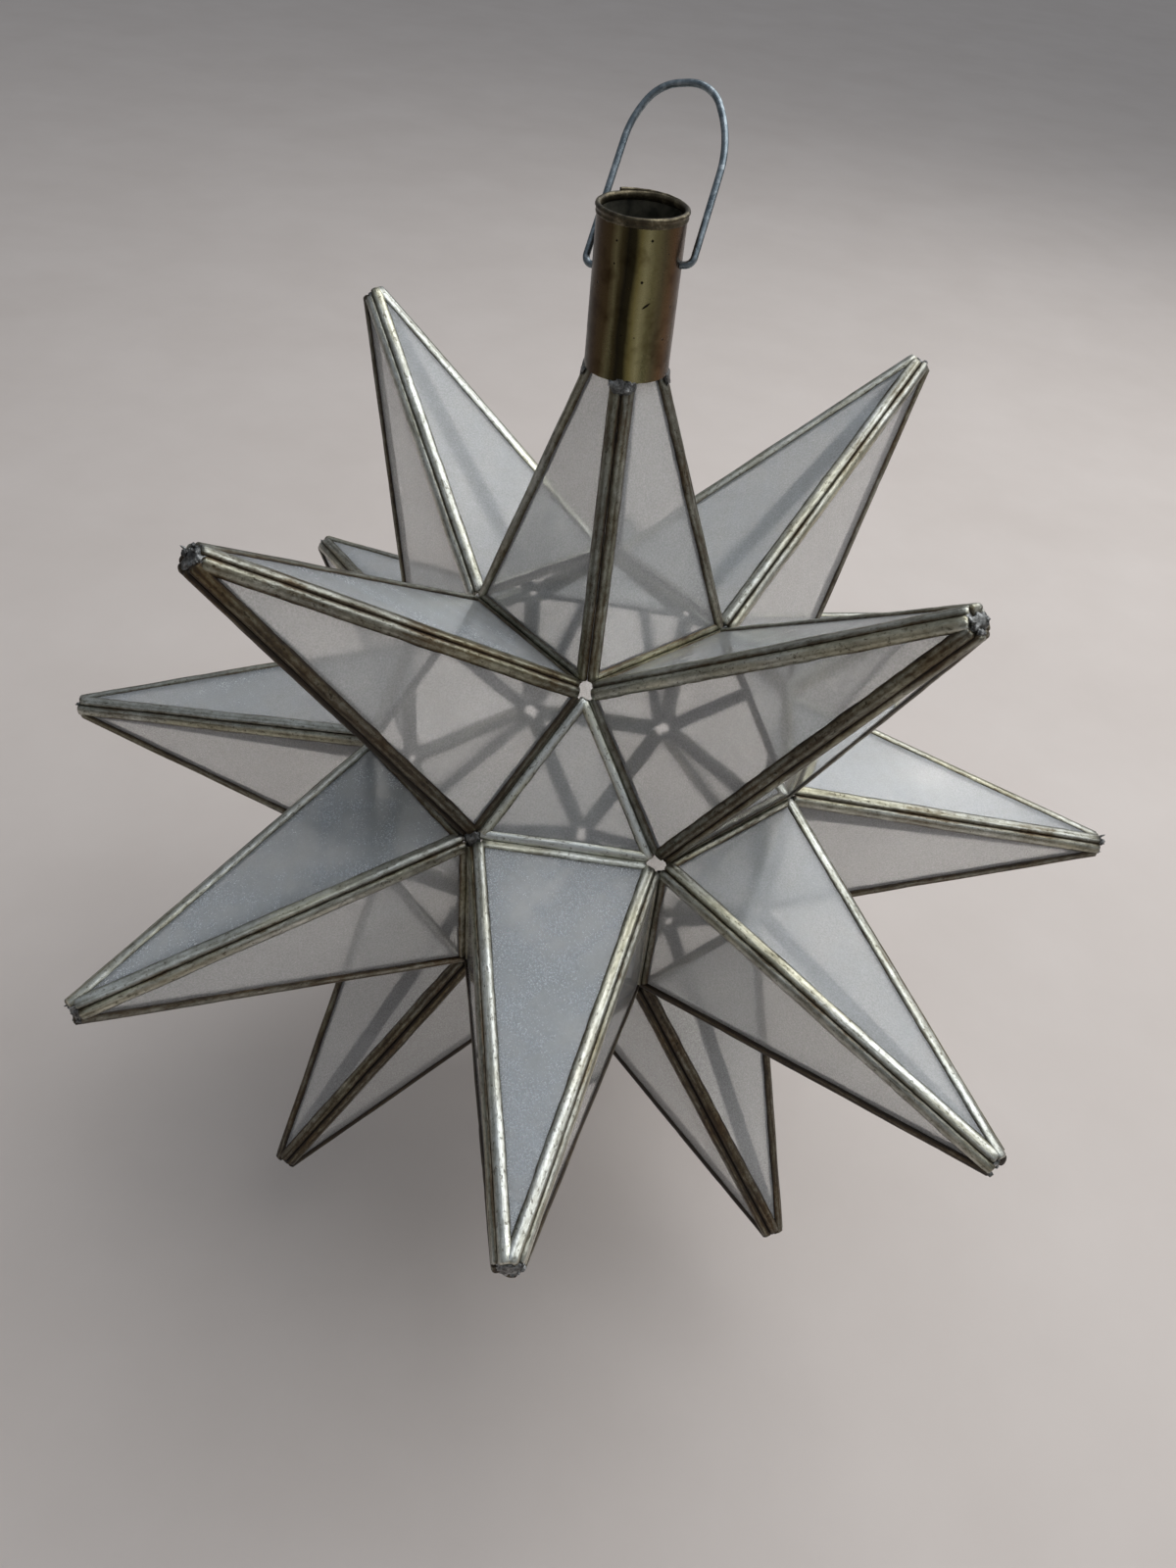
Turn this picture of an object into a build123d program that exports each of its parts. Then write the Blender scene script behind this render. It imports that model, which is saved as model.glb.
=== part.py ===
from build123d import *

import os
from itertools import permutations, product
from math import atan2, cos, radians, sin, sqrt, tan

# Star lantern: hollow glass points on a rhombicuboctahedron core, hung by a wire bail (millimetres).
# The origin is the centre of the collar tube's mouth, +Z is up along the collar and -Y is the front.

# Core and points
CORE_EDGE = 60.0
POINT_HEIGHT = 122.0  # from a square face of the core to the cut end of the point on it
TIP_WIDTH = 5.8  # width of a pane between its ribs at the cut end
NECK_HEIGHT = 87.2  # from the core's top face to the collar's foot
TIP_SHIFTS = {  # tips knocked out of true, as x, y and z shifts
    "front_point": (3.0, -1.0, -0.5),
    "front_right_point": (0.0, -4.5, -3.0),
    "upper_front_right_point": (-2.0, 5.5, 8.0),
    "upper_back_right_point": (4.0, -2.0, -2.5),
    "upper_back_left_point": (-2.0, -1.5, -2.5),
}

# Glass panes and the folded metal channel that frames each of them
GLASS_THICKNESS = 2.0
GLASS_CLEARANCE = 0.05  # all round the glass inside its channel
GLASS_TIP_GAP = 6.0  # the glass stops this far short of a soldered tip
GLASS_NECK_GAP = 0.6  # and this far short of the collar's foot
CHANNEL_LEG = 0.45  # thickness of the metal on each face of the glass
CHANNEL_WEB = 0.95  # metal between the channel's floor and its rounded edge
CHANNEL_WIDTH = 4.0
EDGE_FLAT = 0.12  # flat left in the middle of the rounded edge
SEAM_NIP = 0.1  # how far each rounded edge is pressed flat against its neighbour, to which it is soldered
CORNER_CUT = 2.6  # frames stop this far from a corner of the core, which leaves a small hole there
END_OVERRUN = 3.0  # extra length that is trimmed off at a point's cut end

# Collar
COLLAR_RADIUS = 12.4
COLLAR_WALL = 0.6
COLLAR_HEIGHT = 43.6  # mouth to foot
RIB_INSET = 1.1  # the top point's ribs meet the foot this far inside the collar's outer face
RIM_LEG = 0.45
RIM_OVERHANG = 0.4  # the rolled edge stands out this far beyond the leg
RIM_DROP = 2.0  # the leg reaches this far down the tube
RIM_CLEARANCE = 0.05  # round the tube
LAP_HEIGHT = 0.9  # the rim strip's loose end stands up this far above the rolled edge
LAP_THICKNESS = 0.6
LAP_START = 20.0  # degrees round from +X
LAP_ARC = 105.0

# Solder
TIP_SOLDER_RADIUS = 3.4
TIP_SOLDER_HEIGHT = 1.6
TIP_SOLDER_TAPER = 32.0  # degrees
FOOT_SOLDER_WIDTH = 6.0
FOOT_SOLDER_REACH = 1.5  # out from the collar
FOOT_SOLDER_HEIGHT = 3.0

# Bail
WIRE_RADIUS = 1.0
HOLE_CLEARANCE = 0.08
HINGE_DROP = 15.0  # middle of the hinge line below the mouth
HINGE_HEADING = -14.0  # degrees about +Z
HINGE_TILT = 10.5  # degrees that the hinge line climbs, from the lower hole on the left to the right
BAIL_TILT = 38.0  # degrees that the bail leans back from upright
BAIL_HEIGHT = 49.4  # hinge line to the middle of the wire at the top
BAIL_STANDOFF = 0.7  # straight wire outside the collar before each bend
BAIL_BEND_RADIUS = 2.4
LEFT_LEG_LEAN = 7.9  # the hand-bent loop: how far its corners stand from a true arch
LEFT_SHOULDER_DROP = 9.3
LEFT_TOP = 0.9
RIGHT_TOP = 14.5
RIGHT_SHOULDER_DROP = 16.6
RIGHT_LEG_LEAN = 5.4
RUN_SHARE = 0.48  # share of the shorter run beside a corner that its bend takes up

# Worked out from the sizes above
CHANNEL_THICKNESS = GLASS_THICKNESS + 2 * (GLASS_CLEARANCE + CHANNEL_LEG)
BORE_RADIUS = COLLAR_RADIUS - COLLAR_WALL
RIM_BEAD = (COLLAR_WALL + RIM_CLEARANCE + RIM_LEG + RIM_OVERHANG) / 2
NECK_WIDTH = sqrt(2) * (COLLAR_RADIUS - RIB_INSET)
CORE_INRADIUS = CORE_EDGE * (1 + sqrt(2)) / 2
FOOT_Z = -COLLAR_HEIGHT
CENTRE = Vector(0, 0, FOOT_Z - NECK_HEIGHT - CORE_INRADIUS)

SIDES = {
    -135: "front_left",
    -90: "front",
    -45: "front_right",
    0: "right",
    45: "back_right",
    90: "back",
    135: "back_left",
    180: "left",
}


def heading(azimuth, elevation):
    """Unit vector for an azimuth from +X and an elevation, in degrees."""
    level = cos(radians(elevation))
    return Vector(level * cos(radians(azimuth)), level * sin(radians(azimuth)), sin(radians(elevation)))


def core_corners():
    """The 24 corners of the core, turned so that triangles face front, back, left and right."""
    near = CORE_EDGE / 2
    places = {
        tuple(sign * size for sign, size in zip(signs, sizes))
        for sizes in permutations((near, near, CORE_INRADIUS))
        for signs in product((-1, 1), repeat=3)
    }
    return [Vector(*place).rotate(Axis.Z, 45) + CENTRE for place in sorted(places)]


def face_corners(direction, count):
    """The corners of the core's face in a direction, in order round it as seen from outside."""
    corners = sorted(core_corners(), key=lambda corner: -(corner - CENTRE).dot(direction))[:count]
    middle = sum(corners, Vector()) / count
    across = (corners[0] - middle).normalized()
    up = direction.cross(across)
    return sorted(corners, key=lambda corner: atan2((corner - middle).dot(up), (corner - middle).dot(across)))


def clip(outline, place, inward):
    """The part of a flat outline on the inward side of a line through a place."""
    kept = []
    for start, end in zip(outline, outline[1:] + outline[:1]):
        depth, end_depth = (start - place).dot(inward), (end - place).dot(inward)
        if depth >= 0:
            kept.append(start)
        if (depth >= 0) != (end_depth >= 0):
            kept.append(start + (end - start) * (depth / (depth - end_depth)))
    return kept


class Pane:
    """A flat pane, worked out in its own plane, with its corners in order as seen from outside.

    A point's pane has its free end on its third side. A neck pane's free end is under the collar.
    """

    def __init__(self, corners, end_plane=None, is_neck=False):
        self.corners = corners
        self.normal = (corners[1] - corners[0]).cross(corners[-1] - corners[0]).normalized()
        self.plane = Plane(corners[0], x_dir=corners[1] - corners[0], z_dir=self.normal)
        self.is_neck = is_neck
        self.flat_corners = [self.plane.to_local_coords(corner) for corner in corners]
        self.end_plane = end_plane
        self.setbacks = []
        self.trim_planes = [Plane(place, z_dir=inward) for place, inward in self.corner_lines(CORNER_CUT)]
        if end_plane is not None:
            self.add_trim(end_plane)

    def sides(self):
        """Each side as a start and an end."""
        return list(zip(self.corners, self.corners[1:] + self.corners[:1]))

    def inward(self, start, end):
        """Unit vector in the pane, square to a side and pointing into the pane."""
        return self.normal.cross((end - start).normalized())

    def add_trim(self, plane):
        """Note a plane that the frame is trimmed to, which faces into the pane."""
        place = self.plane.to_local_coords(plane.origin)
        facing = self.plane.to_local_coords(plane.origin + plane.z_dir) - place
        self.trim_planes.append(Plane(place, z_dir=facing))

    def corner_lines(self, distance):
        """Lines across the pane's corners on the core, each as a place on it and the way inwards."""
        lines = []
        core_count = 3 if self.end_plane is None else 2
        for index, corner in enumerate(self.flat_corners[:core_count]):
            before = self.flat_corners[index - 1] - corner
            after = self.flat_corners[(index + 1) % len(self.flat_corners)] - corner
            inward = (before.normalized() + after.normalized()).normalized()
            lines.append((corner + inward * distance, inward))
        return lines

    def outline(self, inset, end_gap, cut_corners=True):
        """Points of the frame's outline moved inwards all round, with its own gap at a free end."""
        lines = self.corner_lines(CORNER_CUT + inset) if cut_corners else []
        for index, corner in enumerate(self.flat_corners):
            after = self.flat_corners[(index + 1) % len(self.flat_corners)] - corner
            inward = Vector(-after.Y, after.X).normalized()
            is_free_end = self.end_plane is not None and index == 2
            distance = end_gap if is_free_end else self.setbacks[index] + inset
            lines.append((corner + inward * distance, inward))
        reach = 10 * CORE_EDGE + 10 * POINT_HEIGHT
        outline = [Vector(-reach, -reach), Vector(reach, -reach), Vector(reach, reach), Vector(-reach, reach)]
        for place, inward in lines:
            outline = clip(outline, place, inward)
        return [(point.X, point.Y) for point in outline]

    def shape_key(self):
        """The same value for panes of the same shape and surroundings."""
        numbers = [value for corner in self.flat_corners for value in corner]
        numbers += [value for plane in self.trim_planes for value in plane.z_dir]
        return self.is_neck, tuple(round(number, 4) + 0.0 for number in numbers + self.setbacks)


def point_panes(name, direction):
    """The four panes of a point."""
    corners = face_corners(direction, 4)
    middle = sum(corners, Vector()) / 4
    is_neck = name == "top_point"
    height = NECK_HEIGHT if is_neck else POINT_HEIGHT
    width = NECK_WIDTH if is_neck else TIP_WIDTH
    tip = middle + direction * height + Vector(*TIP_SHIFTS.get(name, (0, 0, 0)))
    tip_corners = [tip + (corner - middle) * (width / CORE_EDGE) for corner in corners]
    panes = []
    for here, after in ((0, 1), (1, 2), (2, 3), (3, 0)):
        outline = [corners[here], corners[after], tip_corners[after], tip_corners[here]]
        panes.append(Pane(outline, Plane(tip, z_dir=-direction), is_neck))
    return panes


def side_key(start, end):
    """The same key for a side whichever way round it is given."""
    return frozenset(tuple(round(value, 3) for value in place) for place in (start, end))


def join_neighbours(panes):
    """Give every side of every pane its seam and setback, from the pane beyond it."""
    owners = {}
    for pane in panes:
        for start, end in pane.sides():
            owners.setdefault(side_key(start, end), []).append((pane, pane.inward(start, end)))
    edge_radius = CHANNEL_THICKNESS / 2
    for pane in panes:
        for start, end in pane.sides():
            beyond = [inward for owner, inward in owners[side_key(start, end)] if owner is not pane]
            if beyond:
                opening = pane.inward(start, end) - beyond[0]
                setback = (edge_radius - SEAM_NIP) / (opening.length / 2) - edge_radius
                pane.add_trim(Plane(start, z_dir=opening.normalized()))
                pane.setbacks.append(setback)
            else:
                pane.setbacks.append(-END_OVERRUN)


def channel_frame(pane):
    """The folded channel round a pane, in the pane's own plane, flat along each soldered seam."""
    open_end = -END_OVERRUN - CHANNEL_WIDTH
    with BuildPart() as frame:
        with BuildSketch():
            Polygon(*pane.outline(0, -END_OVERRUN, cut_corners=False), align=None)
        extrude(amount=CHANNEL_THICKNESS / 2, both=True)
        long_edges = [flat.edges().sort_by(SortBy.LENGTH)[-3:] for flat in frame.faces().filter_by(Axis.Z)]
        fillet(long_edges[0] + long_edges[1], radius=(CHANNEL_THICKNESS - EDGE_FLAT) / 2)
        with BuildSketch():
            Polygon(*pane.outline(CHANNEL_WIDTH, open_end if pane.is_neck else CHANNEL_WIDTH), align=None)
        extrude(amount=CHANNEL_THICKNESS, both=True, mode=Mode.SUBTRACT)
        with BuildSketch():
            slot_end = open_end if pane.is_neck else GLASS_TIP_GAP - GLASS_CLEARANCE
            Polygon(*pane.outline(CHANNEL_WEB, slot_end), align=None)
        extrude(amount=GLASS_THICKNESS / 2 + GLASS_CLEARANCE, both=True, mode=Mode.SUBTRACT)
        for plane in pane.trim_planes:
            split(bisect_by=plane, keep=Keep.TOP)
    return frame.part.solid()


def glass_pane(pane):
    """One sheet of frosted glass, in the pane's own plane, seated in its channel."""
    with BuildPart() as sheet:
        with BuildSketch():
            end_gap = GLASS_NECK_GAP if pane.is_neck else GLASS_TIP_GAP
            Polygon(*pane.outline(CHANNEL_WEB + GLASS_CLEARANCE, end_gap), align=None)
        extrude(amount=GLASS_THICKNESS / 2, both=True)
    return sheet.part.solid()


def write_group(label, make, panes, made):
    """Write one solid for each pane as a node; panes of the same shape are made once and set in place."""
    solids = []
    for pane in panes:
        key = pane.shape_key()
        if key not in made:
            made[key] = make(pane)
        solids.append(made[key].moved(pane.plane.location))
    with BuildPart() as group:
        add(solids, mode=Mode.REPLACE)
    group.part.label = label
    export_step(group.part, f"parts/{label}.step")


os.makedirs("parts", exist_ok=True)

# Every point and every flat corner pane, by name
directions = {"top_point": heading(0, 90), "bottom_point": heading(0, -90)}
for azimuth, side in SIDES.items():
    directions[f"{side}_point"] = heading(azimuth, 0)
    if azimuth % 90:
        directions[f"upper_{side}_point"] = heading(azimuth, 45)
        directions[f"lower_{side}_point"] = heading(azimuth, -45)
star = {name: point_panes(name, direction) for name, direction in directions.items()}
for azimuth, side in SIDES.items():
    if azimuth % 90 == 0:
        for level, slope in (("upper", 1), ("lower", -1)):
            direction = (heading(azimuth, 0) * sqrt(2) + Vector(0, 0, slope)).normalized()
            star[f"{level}_{side}_corner"] = [Pane(face_corners(direction, 3))]
join_neighbours([pane for panes in star.values() for pane in panes])

# Glass and frames of the star, one node of each for every point and corner
glass_made = {}
frames_made = {}
for name, panes in star.items():
    write_group(f"{name}_glass", glass_pane, panes, glass_made)
    write_group(f"{name}_frame", channel_frame, panes, frames_made)

# Lumps of solder that close the free points
free_ends = [panes[0].end_plane for panes in star.values() if panes[0].end_plane and not panes[0].is_neck]
with BuildPart() as tip_solder:
    with BuildSketch(*[Plane(end.origin, z_dir=-end.z_dir) for end in free_ends]):
        Circle(TIP_SOLDER_RADIUS)
    extrude(amount=TIP_SOLDER_HEIGHT, taper=TIP_SOLDER_TAPER)
tip_solder.part.label = "tip_solder"
export_step(tip_solder.part, "parts/tip_solder.step")

# Collar: a tube with a hole for the bail on each side
hinge = Vector(0, 0, -HINGE_DROP)
hinge_along = heading(HINGE_HEADING, HINGE_TILT)
with BuildPart() as collar_tube:
    with BuildSketch(Plane.XY.offset(FOOT_Z)):
        Circle(COLLAR_RADIUS)
        Circle(BORE_RADIUS, mode=Mode.SUBTRACT)
    extrude(amount=COLLAR_HEIGHT)
    with BuildSketch(Plane(hinge, z_dir=hinge_along)):
        Circle(WIRE_RADIUS + HOLE_CLEARANCE)
    extrude(amount=2 * COLLAR_RADIUS, both=True, mode=Mode.SUBTRACT)
collar_tube.part.label = "collar_tube"
export_step(collar_tube.part, "parts/collar_tube.step")

# Rim: a strip folded over the collar's mouth, with its loose end standing up at the back
with BuildPart() as rim_edging:
    with BuildSketch(Plane.XZ):
        with Locations((BORE_RADIUS + RIM_BEAD, 0)):
            Circle(RIM_BEAD)
        with Locations((COLLAR_RADIUS, 0)):
            Rectangle(RIM_CLEARANCE + RIM_LEG, RIM_DROP, align=(Align.MIN, Align.MAX))
        with Locations((COLLAR_RADIUS + RIM_CLEARANCE, 0)):
            Rectangle(COLLAR_RADIUS, RIM_BEAD + RIM_DROP, align=(Align.MAX, Align.MAX), mode=Mode.SUBTRACT)
    revolve(axis=Axis.Z)
    with BuildSketch(Plane.XZ.rotated((0, 0, LAP_START))):
        with Locations((BORE_RADIUS + RIM_BEAD, 0)):
            Rectangle(LAP_THICKNESS, RIM_BEAD + LAP_HEIGHT, align=(Align.CENTER, Align.MIN))
    revolve(axis=Axis.Z, revolution_arc=LAP_ARC)
rim_edging.part.label = "rim_edging"
export_step(rim_edging.part, "parts/rim_edging.step")

# Lumps of solder between the collar's foot and the four ribs of the top point
with BuildPart() as foot_solder:
    with BuildSketch(Plane.XY.offset(FOOT_Z)):
        with PolarLocations(COLLAR_RADIUS, 4):
            Ellipse(FOOT_SOLDER_REACH, FOOT_SOLDER_WIDTH / 2)
        Circle(COLLAR_RADIUS, mode=Mode.SUBTRACT)
    extrude(amount=FOOT_SOLDER_HEIGHT)
foot_solder.part.label = "foot_solder"
export_step(foot_solder.part, "parts/foot_solder.step")

# Bail: one wire, hooked into both holes with its ends clear of the bore, and bent into a loop
wire_side = WIRE_RADIUS * sin(radians(HINGE_TILT))
wire_end = (BORE_RADIUS + wire_side) / cos(radians(HINGE_TILT))
foot = (COLLAR_RADIUS + wire_side) / cos(radians(HINGE_TILT)) + BAIL_STANDOFF + BAIL_BEND_RADIUS
route = [
    Vector(-wire_end, 0),
    Vector(-foot, 0),
    Vector(LEFT_LEG_LEAN - foot, BAIL_HEIGHT - LEFT_SHOULDER_DROP),
    Vector(-LEFT_TOP, BAIL_HEIGHT),
    Vector(RIGHT_TOP, BAIL_HEIGHT),
    Vector(RIGHT_LEG_LEAN + foot, BAIL_HEIGHT - RIGHT_SHOULDER_DROP),
    Vector(foot, 0),
    Vector(wire_end, 0),
]
bend_radii = []
for before, corner, after in zip(route, route[1:], route[2:]):
    half_turn = radians((corner - before).get_angle(after - corner)) / 2
    shorter_run = min((corner - before).length, (after - corner).length)
    bend_radii.append(RUN_SHARE * shorter_run / tan(half_turn))
bend_radii[0] = bend_radii[-1] = BAIL_BEND_RADIUS
bail_up = heading(HINGE_HEADING, HINGE_TILT + 90).rotate(Axis(hinge, hinge_along), -BAIL_TILT)
with BuildPart() as bail:
    with BuildLine(Plane(hinge, x_dir=hinge_along, z_dir=hinge_along.cross(bail_up))) as loop:
        FilletPolyline(*[(corner.X, corner.Y) for corner in route], radius=bend_radii)
    with BuildSketch(Plane(loop.line @ 0, z_dir=loop.line % 0)):
        Circle(WIRE_RADIUS)
    sweep(path=loop.line)
bail.part.label = "bail"
export_step(bail.part, "parts/bail.step")
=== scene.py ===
import random
from math import cos, radians, sin, sqrt, tau

import bmesh
import bpy
from mathutils import Matrix, Vector, noise


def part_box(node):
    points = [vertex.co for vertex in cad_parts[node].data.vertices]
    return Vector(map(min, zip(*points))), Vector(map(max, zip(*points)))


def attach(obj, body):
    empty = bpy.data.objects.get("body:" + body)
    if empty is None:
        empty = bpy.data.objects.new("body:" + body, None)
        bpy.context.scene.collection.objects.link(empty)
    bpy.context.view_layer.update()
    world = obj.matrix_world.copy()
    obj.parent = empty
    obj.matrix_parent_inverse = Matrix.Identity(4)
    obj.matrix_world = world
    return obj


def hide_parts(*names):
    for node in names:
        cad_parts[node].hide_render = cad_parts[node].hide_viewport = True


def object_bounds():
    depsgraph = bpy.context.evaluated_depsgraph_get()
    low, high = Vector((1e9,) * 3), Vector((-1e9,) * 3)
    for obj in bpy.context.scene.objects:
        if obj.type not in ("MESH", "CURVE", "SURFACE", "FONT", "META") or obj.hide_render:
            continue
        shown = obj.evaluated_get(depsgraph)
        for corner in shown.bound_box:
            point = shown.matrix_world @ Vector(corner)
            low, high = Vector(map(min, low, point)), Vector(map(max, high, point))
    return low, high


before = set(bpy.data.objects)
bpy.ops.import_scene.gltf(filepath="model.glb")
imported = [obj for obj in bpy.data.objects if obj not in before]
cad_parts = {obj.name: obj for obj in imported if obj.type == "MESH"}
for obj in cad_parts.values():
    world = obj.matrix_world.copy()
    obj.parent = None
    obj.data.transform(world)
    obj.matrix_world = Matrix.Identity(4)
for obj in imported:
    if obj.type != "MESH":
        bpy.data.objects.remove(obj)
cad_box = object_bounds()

# A star lantern of dusty glass panes in folded metal channels, with a brass collar and a wire bail.
# Everything is in metres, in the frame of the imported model.

MM = 0.001

# Camera, as fitted to the star's tips and core corners
CAMERA_PLACE = (0.016, -0.3431, 0.0966)
CAMERA_TURN = (48.28, -4.68, 6.46)  # degrees
CAMERA_LENS = 27.47
SENSOR_WIDTH = 36.0

# Panes, read from the glass nodes
WELD_DISTANCE = 0.001 * MM
SMALLEST_PANE_AREA = 800 * MM * MM
LONG_SIDE = 20 * MM  # shorter sides of a pane carry no channel
RIB_CLIMB = 20 * MM  # a side that climbs less from the star's centre is no rib
GLASS_THICKNESS = 2.0 * MM
GLASS_ARRIS = 0.2 * MM
FLAT_ANGLE = 1.0  # degrees; faces of the node that meet at less are one flat face
PARALLEL = 0.99  # least cosine between two sides that lie side by side
SAME_FACING = 0.05  # most difference between the normals of two sides of one pane

# Folded channel round each pane, as a bead with the glass between its lips
BEAD_HALF_WIDTH = 2.0 * MM  # from the middle of the bead to its lips
BEAD_HALF_HEIGHT = 1.7 * MM
BEAD_INSET = 1.0 * MM  # middle of the bead, inside the pane's edge
BEAD_OPENING = 144.0  # degrees from the outer edge round to each lip
BEAD_SIDES = 22
BEAD_SQUARENESS = 0.85  # 1 for an elliptical outer edge, less for a squarer one
BEAD_WIDEST_REACH = 2.3 * MM  # furthest past the pane's edge, where the next channel is not nearer
SEAM_GAP = 0.05 * MM  # from a channel to the plane midway to the next one
LEAST_FACING = 0.3  # least cosine that is used from the way out of a side to the way to that plane
NEIGHBOUR_REACH = 9 * MM
STATION_STEP = 2.6 * MM
FEWEST_STATIONS = 4
CORE_END_REACH = 1.1 * MM  # how far the channel runs past the glass at a corner of the core
NECK_END_REACH = 0.5 * MM
TIP_END_REACH = 6.3 * MM
BUTT_END_REACH = 0.4 * MM
TIP_RAGGEDNESS = 1.2 * MM
END_BEVEL = 0.5 * MM
END_SHRINK = 0.70  # size of the bead at its very ends
BUTT_DROP = 0.12 * MM  # a channel that butts between two others lies this much lower
SIDE_WANDER = 0.16 * MM
HEIGHT_WANDER = 0.20 * MM
LIP_WANDER = 0.45 * MM
COARSE_WAVE = 18 * MM  # length along the channel of its slow wanderings
FINE_WAVE = 5 * MM
LIP_VARIETY = 11  # sets the noise of one lip apart from that of the other
DENT_DEPTH = 0.40 * MM
DENT_FLOOR = 0.25  # noise below this leaves no dent
GROOVE_DEPTH = 0.12 * MM
GROOVE_TURN = 1.25  # radians round the bead from its outer edge to a groove
GROOVE_WANDER = 0.5
GROOVE_WAVES = 0.4  # in one coarse wave
GROOVE_HALF_WIDTH = 0.28  # radians
GROOVE_SHADE = 0.6  # painted shade: how much darker the groove is painted than the crown of the bead
CROWN_SHEEN_BEGINS = (0.0, 0.9)  # radians round the bead from its outer edge, from painted shade at the seam to the full painted highlight on the crown, which is partly wear
# Radians round the bead from its lips to the crown, from painted shade at the lips to the full painted
# highlight
CROWN_SHEEN_ENDS = (2.55, 1.7)

# How bright each point's channels are worn: less for dark patina, more for bare metal
WEAR_TONES = {
    "upper_front_left_point": 0.24,
    "upper_front_right_point": 0.46,
    "front_point": 0.42,
    "front_left_point": 0.42,
    "front_right_point": 0.31,
    "top_point": 0.44,
    "upper_back_left_point": 0.58,
    "upper_back_right_point": 0.46,
    "left_point": 0.42,
    "right_point": 0.38,
    "lower_front_left_point": -0.10,
    "lower_front_right_point": -0.17,
    "upper_front_corner": 0.70,
}
OTHER_TONE = 0.34
TONE_SPREAD = 0.12
PAINTED_RISE_LIGHT = 0.42  # painted light: added on ribs that lie above the axis of their point, and taken off below it, so upper ribs are painted lighter and lower ones darker
BASE_TONE = 0.40  # added on the sides at the foot of a bright point or corner
BRIGHT_FEET = ("front_point", "upper_front_corner")

# How dusty each point's upper panes are
DUST_SHARES = {
    "front_point": 0.95,
    "front_left_point": 0.66,
    "front_right_point": 0.36,
    "upper_front_left_point": 0.70,
    "upper_front_right_point": 0.70,
    "right_point": 0.40,
    "upper_back_left_point": 0.45,
}
OTHER_DUST = 0.52
DUST_SLOPE = (0.45, 0.95)  # upward part of a pane's normal from clean to fully dusty
DUST_SPREAD = (0.9, 1.1)
STRAY_DUST = 0.08  # at most, also on panes that do not face up

# Core of the star, whose 24 corners are where the channels of the points meet
CORE_EDGE = 60 * MM

# Solder, in sizes across, along and off the surface
LUMP_DETAIL = 4
LUMP_WAVES = (3.4, 9.0)  # coarse and fine bumps across a lump
FINE_SHARE = 0.5  # height of the fine bumps beside the coarse ones
TIP_CAP = (6.8 * MM, 6.8 * MM, 3.2 * MM)
TIP_CAP_SINK = 0.8 * MM
TIP_CAP_ROUGHNESS = 0.42
TIP_BEADS = 7
TIP_BEAD_SIZES = (0.9 * MM, 2.1 * MM)
TIP_BEAD_FLATNESS = 0.9  # height beside width
TIP_BEAD_ROUGHNESS = 0.35
TIP_BEAD_SPREAD = (0.25, 0.58)  # from the middle of the cap, in widths of it
TIP_BEAD_RISE = (-0.3, 0.5)  # along the point's axis, in heights of the cap
TIP_BEAD_LEAN = 0.6  # at most, aside for each length along the point's axis
TIP_BURRS = 3
TIP_BURR = (0.7 * MM, 0.7 * MM, 3.0 * MM)
FOOT_DAB = (7.2 * MM, 6.0 * MM, 1.6 * MM)
FOOT_DAB_SINK = 2.4 * MM
FOOT_DAB_INSET = 0.9 * MM
FOOT_DAB_LEAN = 0.3  # up for each length outwards
FOOT_DAB_ROUGHNESS = 0.32
CORNER_DAB = (6.0 * MM, 6.0 * MM, 1.8 * MM)
CORNER_DAB_ROUGHNESS = 0.35
CORNER_DABS = (  # ring of core corners, and degrees about +Z
    ("top", 0.0),
    ("upper", -22.5),
    ("upper", -112.5),
    ("top", 90.0),
    ("upper", 157.5),
    ("lower", 22.5),
    ("lower", -67.5),
    ("bottom", 180.0),
)

# Collar, with a scratch across its front
INSIDE_DEPTHS = (0.4 * MM, 0.3 * MM)  # under its outer face: all inside, and not inside yet
SCRATCH_PLACE = (4.2 * MM, 0.0, -21.8 * MM)
SCRATCH_SLANT = 38.0  # degrees up to the right
SCRATCH_LENGTH = 2.8 * MM
SCRATCH_WIDTH = 0.7 * MM

# Rolled strip round the mouth of the collar: millimetres outwards and up from the tube's outer edge
RIM_PROFILE = (
    (0.02, -1.95), (0.28, -1.90), (0.36, -1.55), (0.26, -1.25), (0.10, -0.85), (0.38, -0.50),
    (0.60, -0.05), (0.46, 0.42), (0.10, 0.72), (-0.40, 0.74), (-0.86, 0.42), (-1.02, -0.20),
    (-0.98, -0.95), (-0.88, -1.45), (-0.62, -1.45), (-0.60, -0.15), (0.0, -0.15),
)
RIM_STATIONS = 120
RIM_WANDER = 0.12 * MM
RIM_WAVES = 2.5
RIM_RISE_NOISE = Vector((0, 0, 5))  # sets the noise of its rise apart from that of its width
RIM_OUTER_FACE = 0.1  # points of the profile further out than this wander in and out
RIM_UPPER_FACE = -0.1  # points of the profile higher than this wander up and down
LAP_HEADINGS = (20.0, 125.0)  # degrees about +Z, from the end that dies out to the end that stands up
LAP_SEAT = 0.5 * MM  # above the tube's mouth
LAP_HEIGHT = 1.0 * MM
LAP_FIRST_HEIGHT = 0.2  # share of the height at the end that dies out
LAP_HALF_THICKNESS = 0.26 * MM
LAP_LEAN = 0.25 * MM
LAP_WAVES = 9
LAP_END_SHRINK = 0.7
LAP_STATIONS = 40

# Stage and lights
FLOOR_REACH = 12.0
SOFTBOXES = (  # name, place, width, and power in watts
    ("window", (0.66, 0.28, 0.95), 1.7, 18.5),
    ("far_window", (0.5, 1.1, 0.7), 1.0, 2.0),
)
SOFTBOX_COLOUR = (0.97, 0.985, 1.0)
SKY_STRENGTHS = (0.36, 0.54)  # from the left to the right

RANDOM_SEED = 18
NOISE_SPAN = 100  # seeds of panes and channels lie within this
LUMP_NOISE_SPAN = 50  # and those of lumps of solder within this

# The star's centre is level with the middle of its left point
STAR_CENTRE = Vector((0, 0, sum(corner.z for corner in map(Vector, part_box("left_point_glass"))) / 2))


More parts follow.
